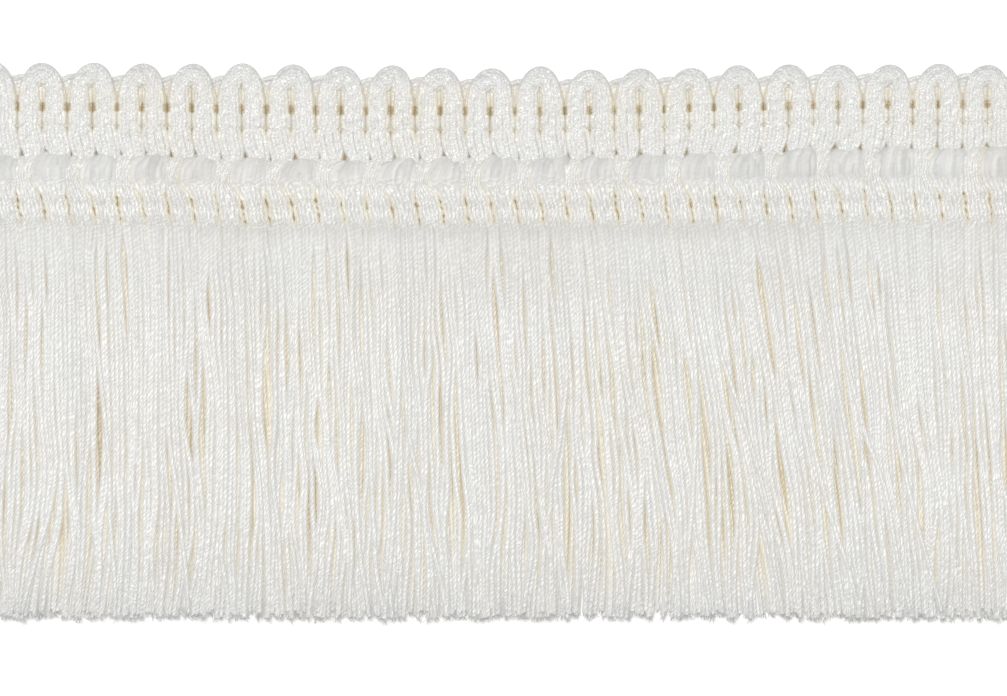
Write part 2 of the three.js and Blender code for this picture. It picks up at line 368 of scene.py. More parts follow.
def yarn_tree():
    """Geometry Nodes: every path becomes a yarn of its own radius."""
    tree = bpy.data.node_groups.get("yarn along path")
    if tree:
        return tree
    tree = bpy.data.node_groups.new("yarn along path", "GeometryNodeTree")
    socket(tree, "Paths", "NodeSocketGeometry")
    socket(tree, "Sides", "NodeSocketInt", default=6)
    socket(tree, "Flatness", "NodeSocketFloat", default=1.0)
    socket(tree, "Material", "NodeSocketMaterial")
    socket(tree, "Yarns", "NodeSocketGeometry", into=False)
    start = add_node(tree, "NodeGroupInput")
    end = add_node(tree, "NodeGroupOutput")
    curve = add_node(tree, "GeometryNodeMeshToCurve", {"Mesh": start.outputs["Paths"]})
    radius = add_node(tree, "GeometryNodeInputNamedAttribute", {"Name": "yarn_radius"}, data_type="FLOAT")
    profile = yarn_profile(tree, start.outputs["Sides"], start.outputs["Flatness"])
    made = swept(tree, curve.outputs["Curve"], profile, radius.outputs["Attribute"])
    finished(tree, made, start.outputs["Material"], end.inputs["Yarns"])
    return tree


def between(tree, low, high, seed, kind="FLOAT"):
    """A random value between two numbers or vectors."""
    node = add_node(tree, "FunctionNodeRandomValue", {"Seed": seed}, data_type=kind)
    for label, value in (("Min", low), ("Max", high)):
        [plug for plug in node.inputs if plug.name == label and plug.enabled][0].default_value = value
    return [plug for plug in node.outputs if plug.enabled][0]


def fibre_tree():
    """Geometry Nodes: every cut end gets a few short fibres, turned, stretched and curled at random."""
    tree = bpy.data.node_groups.new("frayed cut ends", "GeometryNodeTree")
    socket(tree, "Ends", "NodeSocketGeometry")
    socket(tree, "Fibres", "NodeSocketInt", default=6)
    socket(tree, "Length", "NodeSocketFloat", default=0.001)
    socket(tree, "Radius", "NodeSocketFloat", default=0.00003)
    socket(tree, "Curl", "NodeSocketFloat", default=0.0005)
    socket(tree, "Material", "NodeSocketMaterial")
    socket(tree, "Fibres Laid", "NodeSocketGeometry", into=False)
    add = partial(add_node, tree)
    calc = partial(math_node, tree)
    start = add("NodeGroupInput")
    end = add("NodeGroupOutput")

    # a few points round each end
    more = add("GeometryNodeDuplicateElements", {
        "Geometry": start.outputs["Ends"], "Amount": start.outputs["Fibres"]}, domain="POINT")
    off = between(tree, (-0.0002, -0.0001, -0.0001), (0.0002, 0.0002, 0.0001), 1, "FLOAT_VECTOR")
    apart = add("GeometryNodeSetPosition", {"Geometry": more.outputs["Geometry"], "Offset": off})

    # a straight fibre on each one, turned and stretched
    line = add("GeometryNodeCurvePrimitiveLine", {"End": (0, -1, 0)})
    fine = add("GeometryNodeResampleCurve", {"Curve": line.outputs["Curve"], "Count": 7})
    turn = between(tree, (-0.35, 0, -0.9), (0.5, 0, 0.9), 2, "FLOAT_VECTOR")
    lay = add("GeometryNodeInstanceOnPoints", {
        "Points": apart.outputs["Geometry"],
        "Instance": fine.outputs["Curve"],
        "Rotation": add("FunctionNodeEulerToRotation", {"Euler": turn}).outputs["Rotation"],
        "Scale": calc("MULTIPLY", between(tree, 0.45, 1.15, 3), start.outputs["Length"]),
    })
    real = add("GeometryNodeRealizeInstances", {"Geometry": lay.outputs["Instances"]})

    # curled more and more towards its tip
    share = add("GeometryNodeSplineParameter")
    place = add("GeometryNodeInputPosition").outputs[0]
    waves = add("ShaderNodeTexNoise", {"Vector": place, "Scale": 1500.0, "Detail": 1.0})
    middle = {0: waves.outputs["Color"], 1: (0.5, 0.5, 0.48)}
    centred = add("ShaderNodeVectorMath", middle, operation="SUBTRACT")
    amount = calc("MULTIPLY", share.outputs["Factor"], start.outputs["Curl"])
    push = add("ShaderNodeVectorMath", {0: centred.outputs[0], "Scale": amount}, operation="SCALE")
    curled = add("GeometryNodeSetPosition", {"Geometry": real.outputs[0], "Offset": push.outputs[0]})

    # and kept above the surface that the trim lies on
    parts = add("ShaderNodeSeparateXYZ", {0: place}).outputs
    above = calc("MAXIMUM", parts["Z"], 0.00005)
    joined = add("ShaderNodeCombineXYZ", {"X": parts["X"], "Y": parts["Y"], "Z": above})
    laid = add("GeometryNodeSetPosition", {
        "Geometry": curled.outputs["Geometry"], "Position": joined.outputs[0]})

    along = stored(tree, laid.outputs["Geometry"], "along", share.outputs["Length"], "FLOAT")
    made = swept(tree, along, yarn_profile(tree, 3, 1.0), start.outputs["Radius"])
    finished(tree, made, start.outputs["Material"], end.inputs["Fibres Laid"])
    return tree


def set_input(modifier, label, value):
    """Sets the modifier's input of that name."""
    for item in modifier.node_group.interface.items_tree:
        if item.item_type == "SOCKET" and item.in_out == "INPUT" and item.name == label:
            modifier[item.identifier] = value
            return
    raise RuntimeError(f"the tree has no input named {label}")


def placed(name, data):
    """New object in the scene."""
    made = bpy.data.objects.new(name, data)
    bpy.context.scene.collection.objects.link(made)
    return made


def grown(name, mesh, tree, values):
    """Object whose mesh is what the tree makes of the given mesh."""
    made = placed(name, mesh)
    modifier = made.modifiers.new("grow", "NODES")
    modifier.node_group = tree
    for label, value in values.items():
        set_input(modifier, label, value)
    graph = bpy.context.evaluated_depsgraph_get()
    plain = bpy.data.meshes.new_from_object(made.evaluated_get(graph), depsgraph=graph)
    made.modifiers.remove(modifier)
    made.data = plain
    plain.name = name
    bpy.data.meshes.remove(mesh)
    if not plain.polygons:
        raise RuntimeError(f"{name} came out empty")
    return made


def fixed(piece, slot, *nodes):
    """A piece rides on the root body and replaces its solids, which it hides. Its slot is not used."""
    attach(piece, "root")
    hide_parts(*nodes)


# Materials


def attribute(tree, word, output="Fac"):
    """What the yarn's surface carries under a word."""
    node = add_node(tree, "ShaderNodeAttribute", attribute_type="GEOMETRY", attribute_name=word)
    return node.outputs[output]


def twist_group():
    """Shader group: plies and filaments that wind round the yarn. It gives their relief and four masks."""
    tree = bpy.data.node_groups.get("twisted yarn")
    if tree:
        return tree
    tree = bpy.data.node_groups.new("twisted yarn", "ShaderNodeTree")
    socket(tree, "Turn Length", "NodeSocketFloat", default=0.0018)
    socket(tree, "Plies", "NodeSocketFloat", default=3.0)
    socket(tree, "Filaments", "NodeSocketFloat", default=9.0)
    socket(tree, "Shine From", "NodeSocketFloat", default=0.72)
    socket(tree, "Break Scale", "NodeSocketFloat", default=2200.0)
    for label in ("Height", "Crest", "Side", "Under", "Streak"):
        socket(tree, label, "NodeSocketFloat", into=False)
    add = partial(add_node, tree)
    calc = partial(math_node, tree)
    start = add("NodeGroupInput")
    end = add("NodeGroupOutput")
    around = attribute(tree, "around", "Vector")
    around = add("ShaderNodeVectorMath", {0: around}, operation="NORMALIZE").outputs["Vector"]
    around = add("ShaderNodeSeparateXYZ", {0: around}).outputs
    up = calc("MULTIPLY", around["Y"], -1.0)
    angle = calc("ARCTAN2", around["Y"], around["X"])
    place = add("ShaderNodeTexCoord").outputs["Object"]

    def noise(scale, strength, detail=2.0):
        """Uneven values about 0 over the yarn."""
        node = add("ShaderNodeTexNoise", {"Vector": place, "Scale": scale, "Detail": detail})
        return calc("MULTIPLY", calc("SUBTRACT", node.outputs["Fac"], 0.5), strength)

    # how far the twist has turned, which wanders, and more where the yarn is woolly
    turns = calc("DIVIDE", attribute(tree, "along"), start.outputs["Turn Length"])
    turned = calc("MULTIPLY", turns, 2 * math.pi)
    phase = calc("MULTIPLY", attribute(tree, "tone"), 61.0)
    wool = attribute(tree, "wool")
    loose = calc("ADD", noise(450.0, 7.0), calc("MULTIPLY", noise(1500.0, 6.0), wool))
    wound = calc("ADD", calc("ADD", turned, phase), loose)
    theta = calc("SUBTRACT", wound, angle)

    # plies with flecks on them, filaments and roughness, all calmer where the yarn lies plain
    half_plies = calc("DIVIDE", start.outputs["Plies"], 2.0)
    ply = calc("ABSOLUTE", calc("COSINE", calc("MULTIPLY", theta, half_plies)))
    ply = calc("POWER", ply, 1.6)
    fleck = calc("ADD", noise(5000.0, 4.0, 1.0), 0.45, clamp=True)
    ply = blend(tree, calc("MULTIPLY", wool, 0.2), ply, fleck)
    hair = calc("MULTIPLY", theta, start.outputs["Filaments"])
    hair = calc("ADD", hair, noise(2500.0, 5.0))
    hair = calc("MULTIPLY", calc("COSINE", hair), 0.04)
    rough = noise(5200.0, 0.5, 3.0)
    relief = calc("ADD", calc("ADD", ply, hair), rough)
    calm = calc("MULTIPLY", attribute(tree, "plain"), 0.88)
    lively = calc("SUBTRACT", 1.0, calm)
    tree.links.new(calc("MULTIPLY", relief, lively), end.inputs["Height"])

    # masks for painted light: where light strikes the top of a ply, for painted highlight, and where the
    # yarn turns to its sides and under itself, for painted shade and painted glow
    upward = smooth_step(tree, up, start.outputs["Shine From"], 1.0)
    broken = noise(start.outputs["Break Scale"], 3.6, 1.0)
    shine = calc("MULTIPLY", upward, calc("ADD", broken, 0.62, clamp=True))
    crest = calc("MULTIPLY", calc("POWER", ply, 1.5), shine)
    tree.links.new(calc("MULTIPLY", crest, lively), end.inputs["Crest"])
    tree.links.new(calc("SUBTRACT", 1.0, smooth_step(tree, up, -0.1, 0.75)), end.inputs["Side"])
    tree.links.new(calc("SUBTRACT", 1.0, smooth_step(tree, up, -0.7, 0.3)), end.inputs["Under"])

    # long streaks that run with the yarn
    flow = add("ShaderNodeCombineXYZ", {
        "X": calc("MULTIPLY", angle, 2.2),
        "Y": calc("MULTIPLY", attribute(tree, "along"), 260.0),
        "Z": phase,
    })
    streak = add("ShaderNodeTexNoise", {"Vector": flow.outputs[0], "Scale": 1.0, "Detail": 2.0})
    tree.links.new(calc("SUBTRACT", streak.outputs["Fac"], 0.5), end.inputs["Streak"])
    return tree


def blend(tree, share, first, second):
    """A value between two others."""
    node = add_node(tree, "ShaderNodeMix", data_type="FLOAT")
    plugs = [plug for plug in node.inputs if plug.enabled]
    for plug, value in zip(plugs, (share, first, second)):
        tree.links.new(value, plug)
    return [plug for plug in node.outputs if plug.enabled][0]


def smooth_step(tree, value, low, high):
    """Eased from 0 to 1 between two values."""
    inputs = {"Value": value, "From Min": low, "From Max": high}
    return add_node(tree, "ShaderNodeMapRange", inputs, interpolation_type="SMOOTHSTEP").outputs["Result"]


def mixed(tree, share, first, second):
    """A colour between two others, each of them a socket or a plain colour."""
    node = add_node(tree, "ShaderNodeMix", data_type="RGBA")
    plugs = {plug.name: plug for plug in node.inputs if plug.type == "RGBA"}
    tree.links.new(share, [p for p in node.inputs if p.name == "Factor" and p.type == "VALUE"][0])
    for plug, value in ((plugs["A"], first), (plugs["B"], second)):
        if isinstance(value, bpy.types.NodeSocket):
            tree.links.new(value, plug)
        else:
            plug.default_value = (*value, 1)
    return [s for s in node.outputs if s.type == "RGBA"][0]


def yarn_material(name):
    """Soft shiny yarn with painted light: painted shade turns its colour cream and ochre low in the pile and
    on its sides, painted highlight lightens the crests of its plies, and a painted glow stands in for light
    that comes through it.
    """
    made = bpy.data.materials.get(name)
    if made:
        return made
    finish = FINISHES[name]
    made = bpy.data.materials.new(name)
    made.use_nodes = True
    tree = made.node_tree
    calc = partial(math_node, tree)
    shader = tree.nodes["Principled BSDF"]
    twist = add_node(tree, "ShaderNodeGroup", node_tree=twist_group(), inputs={
        "Turn Length": sizes().turn_length, "Plies": finish["plies"], "Shine From": finish["shine_from"],
        "Break Scale": finish["break_scale"]})
    deep, plain, grey, wool = [attribute(tree, word) for word in ("depth", "plain", "grey", "wool")]
    side = twist.outputs["Side"]
    under = twist.outputs["Under"]

    def with_share(total, mask, share):
        """The total with a share of a mask added to it."""
        return calc("ADD", total, calc("MULTIPLY", mask, share))

    place = add_node(tree, "ShaderNodeTexCoord").outputs["Object"]
    patches = add_node(tree, "ShaderNodeTexNoise", {"Vector": place, "Scale": PATCH_SCALE, "Detail": 1.0})
    patch = calc("SUBTRACT", patches.outputs["Fac"], 0.5)

    # colour: painted shade, ivory in the light, cream and then ochre as the painted shade grows, with random
    # patches; painted highlight on the crests thins it where the yarn lies deep, and grey takes it away
    shade = with_share(deep, side, finish["side_share"])
    shade = with_share(with_share(shade, under, finish["under_share"]), patch, PATCH_SHARE)
    fleck = calc("SUBTRACT", twist.outputs["Crest"], 0.3)
    shade = calc("SUBTRACT", shade, calc("MULTIPLY", fleck, calc("MULTIPLY", deep, 0.6)))
    shade = calc("ADD", shade, 0.03, clamp=True)
    shade = calc("MULTIPLY", shade, calc("SUBTRACT", 1.0, grey), clamp=True)
    pale = mixed(tree, calc("MULTIPLY", shade, 2.0, clamp=True), colours().ivory, colours().cream)
    lower = calc("SUBTRACT", calc("MULTIPLY", shade, 2.0), 1.0, clamp=True)
    colour = mixed(tree, lower, pale, colours().ochre)

    # brightness: painted highlight on the crests of the plies, and painted shade dulls what lies deep, lies
    # plain or is grey
    near = calc("SUBTRACT", 1.0, calc("MULTIPLY", deep, 0.75), clamp=True)
    strong = calc("MULTIPLY", near, calc("ADD", calc("MULTIPLY", wool, 0.6), 1.0))
    value = with_share(BRIGHTNESS["face"], attribute(tree, "tone"), BRIGHTNESS["tone"])
    value = with_share(value, calc("MULTIPLY", twist.outputs["Crest"], strong), finish["crest_share"])
    value = with_share(value, wool, BRIGHTNESS["wool"])
    value = with_share(value, plain, BRIGHTNESS["plain"])
    value = with_share(value, calc("MULTIPLY", twist.outputs["Streak"], plain), BRIGHTNESS["streak"])
    value = with_share(value, deep, BRIGHTNESS["deep"])
    value = with_share(value, grey, BRIGHTNESS["grey"])
    tint = add_node(tree, "ShaderNodeHueSaturation", {
        "Value": value, "Saturation": with_share(1.0, grey, -0.9), "Color": colour})
    tree.links.new(tint.outputs["Color"], shader.inputs["Base Color"])

    # painted glow: emission that stands in for light that comes through the yarn, a little everywhere, most
    # at its sides and underside and part way down the pile, less where it is painted grey
    through = calc("MULTIPLY", side, calc("SUBTRACT", 1.0, plain))
    through = with_share(PAINTED_GLOW["face"], through, finish["side_glow"])
    half_deep = calc("MULTIPLY", deep, calc("SUBTRACT", 1.0, deep))
    through = with_share(with_share(through, half_deep, finish["deep_glow"]), grey, PAINTED_GLOW["grey"])
    through = calc("ADD", through, calc("MULTIPLY", under, PAINTED_GLOW["under"]), clamp=True)
    painted_glow_colour = mixed(tree, through, (0.0, 0.0, 0.0), colour)
    tree.links.new(painted_glow_colour, shader.inputs["Emission Color"])
    shader.inputs["Emission Strength"].default_value = PAINTED_GLOW_STRENGTH
    made.cycles.emission_sampling = "NONE"

    bump = add_node(tree, "ShaderNodeBump", {
        "Strength": 1.0, "Distance": sizes().relief, "Height": twist.outputs["Height"]})
    tree.links.new(bump.outputs["Normal"], shader.inputs["Normal"])
    tree.links.new(with_share(finish["roughness"], plain, 0.25), shader.inputs["Roughness"])
    shader.inputs["Sheen Weight"].default_value = finish["sheen"]
    shader.inputs["Sheen Roughness"].default_value = 0.4
    return made


# Laying the yarns


def slit_x(index):
    """Place along the trim of the line between two legs."""
    return -LENGTH / 2 + index * LEG_PITCH


def leg_gap(leg, y, side):
    """Half the gap on one side of a leg, which is wider at the bound rows."""
    inside = (leg % 2 == 0) == (side > 0)
    size = np.where(inside, np.interp(y, ROW_Y, GAP_INSIDE), np.interp(y, ROW_Y, GAP_BETWEEN))
    slit = leg + (1 if side > 0 else 0)
    foot = np.clip((20.9 - y) / 0.6, 0, 1)
    return size * (0.75 + 0.5 * uneven(slit, 11) + foot * 1.2 * (uneven(slit, 12) - 0.5))


def cord_line(rises_first, drop, arch_steps):
    """Stations of a cord's middle: place, way to its left side, leg number and reach along a turn."""
    stations = []
    arch_y = TOPS_Y - drop - TURN_RADIUS - CORD_HALF
    foot_y = CORD_FOOT_Y + TURN_RADIUS + CORD_HALF
    legs = LEG_Y[LEG_Y < arch_y - 0.2]
    for leg in range(LEGS):
        x = slit_x(leg + 0.5)
        rises = (leg % 2 == 0) == rises_first
        for y in legs if rises else legs[::-1]:
            stations.append((x, y, -1 if rises else 1, 0, leg, 0.0))
        if leg == LEGS - 1:
            break
        steps = arch_steps if rises else 4
        high = -ARCH_UNEVEN * uneven(leg, 1) if rises else 0
        tilt = ARCH_UNEVEN * (uneven(leg, 2) + ARCH_TILT_RIGHT - 1) if rises else 0
        for step in range(steps + 1):
            a = math.pi * step / steps
            reach = math.sin(a)
            way = 1 if rises else -1
            centre = arch_y if rises else foot_y
            sx = x + TURN_RADIUS - TURN_RADIUS * math.cos(a) + tilt * reach
            sy = centre + way * (TURN_RADIUS + (high if rises else 0)) * reach
            stations.append((sx, sy, -math.cos(a), way * math.sin(a), leg, reach if rises else -reach))
    return np.array(stations)


def leg_shift(x, y):
    """Below the second bound row the legs lean a little along the trim on their way under the band."""
    return ease(x, LEG_LEAN_X, LEG_LEAN) * soft_step((22.4 - y) / 2.6)


def arch_centre(leg):
    """Sideways place of the middle of the arch from a leg to the next one."""
    return slit_x(leg + 1)


def front_shape(px, py, middle, own):
    """The scallops draw in towards their tops, and most on their right."""
    crown = np.clip((py - 25.9) / 1.5, 0, 1)
    upper = np.clip((py - 27.2) / 1.2, 0, 1)
    off = px - middle
    off = off * (1 - 0.1 * crown - 0.08 * upper - np.where(off > 0, 0.07 * crown, 0.0))
    return middle + off + (0.02 + 0.16 * own) * upper


def back_shape(px, py, middle, own):
    """The turns of the back loops lean to the right, up to the next scallop."""
    return px + (0.6 + 0.3 * own) * np.clip((py - 26.4) / 1.5, 0, 1)


def lay_cord(paths, line, yarns, middle_z, dip_share, depth, rng, gaps=1.0, dark=0.0, shape=front_shape,
             rise=0.0):
    """Yarns side by side along a cord. Each one is (place across from -1 to 1, height above the middle)."""
    x, y, side_x, side_y, leg, reach = line.T
    leg = leg.astype(int)
    left = np.array([leg_gap(n, v, -1) for n, v in zip(leg, y)]) * gaps
    right = np.array([leg_gap(n, v, 1) for n, v in zip(leg, y)]) * gaps
    on_leg = reach == 0
    first = np.where(on_leg, leg - (leg % 2 if shape is front_shape else 1 - leg % 2), leg)
    own_shape = np.array([uneven(n, 5) for n in first])
    left = np.where(on_leg, left, 0.1)
    right = np.where(on_leg, right, 0.1)
    for number, (across, high) in enumerate(yarns):
        tone = rng.random()
        radius = LOOP_RADIUS * (0.95 + 0.1 * rng.random())
        wander = np.cumsum(rng.normal(0, 1, len(x)))
        soft = np.convolve(wander - wander.mean(), np.ones(9) / 9, "same")
        wander = 0.06 * np.sin(soft * 0.8 + number)
        lift = 0.03 * np.sin(soft * 0.6 + 2.1 * number)
        half = LEG_PITCH / 2 - radius
        room_left = half - left
        room_right = half - right
        # on a leg, -1 is its left and 1 its right; on a turn, the side vector carries the yarn round
        arch_half = half - (0.1 if across > 0 else 0.28) * np.clip(reach, 0, 1)
        out = np.where(on_leg, np.where(across * side_x > 0, room_right, room_left) + 0.03, arch_half)
        offset = (across + wander) * out
        px = x + side_x * offset
        py = y + side_y * offset
        dip = np.interp(py, DIP_Y, DIP) * dip_share
        edge = 0.12 * np.abs(across) ** 3 if high > 0.3 else 0.0
        pz = middle_z + high - np.sign(high + 1e-9) * edge + lift - dip + rise * np.clip(reach, 0, 1)
        px = shape(px, py, arch_centre(first), own_shape)
        px = px + leg_shift(px, py)
        py = py + drift(px, py)
        # painted shade: deeper on the yarns under the face, and darkest behind the bound rows
        own = depth + dark * (np.interp(np.where(on_leg, y, py), DARK_Y, DARK) - depth)
        # painted shade on a leg's outer yarns along the slits, and on the left of the turns
        if high > 0.3 and abs(across) == 1:
            own = own + np.where(on_leg, np.interp(y, SIDE_DARK_Y, SIDE_DARK), 0.0)
            own = own + np.where(on_leg | (across > 0), 0.0, 0.25)
        # painted shade: grey on the rims of the turns, most on the front cord
        rim_shade = np.where(on_leg, 0.0, (0.3 + 0.6 * np.clip(across, 0, 1) ** 2) * np.clip(reach * 1.5, 0, 1))
        rim_shade = (0.8 if shape is front_shape else 0.35) * rim_shade
        own = own * painted_shade_inside(px)
        paths.add(np.stack((px, py, pz), axis=1), radius, tone, own, wool=1.0, grey=rim_shade)


def loop_yarns_front(rng):
    """The cord of the scallops: a face of yarns, and more of them under it that close its gaps."""
    paths = Paths()
    line = cord_line(True, 0.0, 14)
    top = [(u, 0.6) for u in np.linspace(-1, 1, FRONT_TOP_YARNS)]
    under = [(u, 0.22) for u in np.linspace(-1.0, 1.0, FRONT_UNDER_YARNS)]
    under += [(u, -0.35) for u in np.linspace(-0.9, 0.9, FRONT_LOW_YARNS)]
    lay_cord(paths, line, top, FRONT_Z, 1.0, 0.0, rng)
    # the yarns under the face are laid in painted shade, darkest behind the bound rows
    lay_cord(paths, line, under, FRONT_Z, 0.6, 0.5, rng, gaps=0.0, dark=1.0)
    return paths


def loop_yarns_back(rng):
    """The cord under it, half a scallop over, whose turns show in the dips between the scallops."""
    paths = Paths()
    line = cord_line(False, BACK_DROP, 12)
    flat = [(u * 1.1, 0.25) for u in np.linspace(-1, 1, BACK_YARNS)]
    flat += [(u, -0.4) for u in np.linspace(-0.9, 0.9, BACK_LOW_YARNS)]
    # the back cord is laid in painted shade, darkest behind the bound rows
    lay_cord(paths, line, flat, BACK_Z, 0.0, 0.5, rng, gaps=0.0, dark=1.0, shape=back_shape, rise=0.9)
    return paths


def core_yarns(rng):
    """Yarns that run the length of the trim inside its heading and fill it at the cut ends."""
    paths = Paths()
    x = np.linspace(-LENGTH / 2 + 0.15, LENGTH / 2 - 0.15, 90)
    for z, ys in CORE_ROWS:
        for y in ys:
            py = y + 0.05 * np.sin(x / 3 + 6 * rng.random()) + drift(x, y)
            pz = z + 0.05 * np.sin(x / 2 + 6 * rng.random())
            # painted shade, which fades at the cut ends
            paths.add(np.stack((x, py, pz), axis=1), CORE_RADIUS, rng.random(), 0.5 * painted_shade_inside(x))
    return paths


def row_threads(rng):
    """Two fine plies for each bound row, which ride over the legs and dip between them."""
    paths = Paths()
    x = np.arange(-LENGTH / 2 + 0.1, LENGTH / 2 - 0.1, THREAD_STEP)
    over = 0.5 - 0.5 * np.cos(2 * math.pi * (x + LENGTH / 2) / LEG_PITCH)
    for y, top in THREAD_ROWS:
        wander = np.interp(x, np.linspace(-60, 60, 60), rng.normal(0, 0.06, 60))
        for ply in (0, math.pi):
            turn = 2 * math.pi * x / THREAD_TURN + ply
            py = y + wander + 0.09 * np.cos(turn)
            pz = top - 0.9 * (1 - over) ** 2 + 0.09 * np.sin(turn)
            py = py + drift(x, py)
            # a little painted shade
            paths.add(np.stack((x, py, pz), axis=1), THREAD_RADIUS, rng.random(), 0.1)
    return paths


def slit_line(index, y):
    """Where the line between two half bundles runs at each height of the heading."""
    x = slit_x(index)
    if index % 2 == 1:
        x = x + np.interp(y, SWAY_Y, SWAY) * (0.75 + 0.5 * uneven(index, 21))
        half_gap = np.interp(y, SLIT_Y, SLIT_INSIDE)
    else:
        half_gap = np.interp(y, SLIT_Y, SLIT_BETWEEN)
    x = x + FOOT_SLANT * np.clip(15.5 - y, 0, 4)
    dots = 1 + 0.7 * np.sin(2 * math.pi * y / 0.85 + 2.4 * index)
    return x, half_gap * (0.7 + 0.6 * uneven(index, 23)) * dots


def partings(rng, count, hem_count, lanes, reach):
    """Places where neighbouring strands part: lane, distance down, half length and width."""
    plain = np.stack((
        rng.uniform(0, lanes, count),
        rng.uniform(3, 38, count),
        rng.uniform(3.0, 10.0, count),
        0.18 + 0.45 * rng.random(count) ** 1.8,
    ), axis=1)
    hem = np.stack((
        rng.uniform(0, lanes, hem_count),
        rng.uniform(37, 44, hem_count),
        rng.uniform(5, 12, hem_count),
        rng.uniform(0.5, 1.05, hem_count),
    ), axis=1)
    return np.concatenate((plain, hem)), reach


def parted(lane, down, table, reach):
    """Sideways push on one strand from every parting near it."""
    off = lane - table[:, 0:1]
    near = np.exp(-np.abs(off) / reach) * np.sign(off)
    share = np.clip(1 - ((down[None, :] - table[:, 1:2]) / table[:, 2:3]) ** 2, 0, 1) ** 1.4
    return (near * share * table[:, 3:4] * 0.5).sum(axis=0)


def waves(rng, count, wide, long):
    """A smooth field over the skirt, as a sum of a few slanted waves."""
    return np.stack((
        rng.uniform(0.5, 1.6, count) / wide * 2 * math.pi,
        rng.uniform(-1.2, 1.2, count) / long * 2 * math.pi,
        rng.uniform(0, 2 * math.pi, count),
    ), axis=1)


def field(table, x, down):
    """Value of that field, between -1 and 1."""
    return np.sin(table[:, 0:1] * x + table[:, 1:2] * down[None, :] + table[:, 2:3]).mean(axis=0)


def skirt_strand(x0, lane, down, rng, parts, waving, swing, stray):
    """Sideways place of a strand at each distance down from the foot."""
    lean = math.tan(math.radians(ease(x0, LIE_X, LIE_LEAN)))
    bend = math.tan(math.radians(ease(x0, CURL_X, CURL)))
    past = np.clip(down - CURL_FROM, 0, None)
    share = down / (FOOT_Y - HEM_Y)
    x = x0 + lean * down + bend * past * past / (2 * (FOOT_Y - HEM_Y - CURL_FROM))
    x = x + parted(lane, down, *parts) * np.clip(down / 3, 0, 1)
    x = x + field(waving, x0, down) * swing * (0.25 + share)
    loose = rng.normal(0, 1) * 0.2
    x = x + loose * share ** 1.5 + 0.065 * np.sin(down / rng.uniform(2.5, 5) + rng.uniform(0, 6.3))
    if stray and abs(x0) < LENGTH / 2 - 4:
        begin = rng.uniform(4, 26)
        x = x + math.tan(math.radians(rng.uniform(-8, 11))) * np.clip(down - begin, 0, None)
    return x


def hem_grey(down):
    """Painted shade: the cut ends are a darker, cooler grey than the strands above them."""
    return np.interp(down, HEM_GREY_DOWN, HEM_GREY)


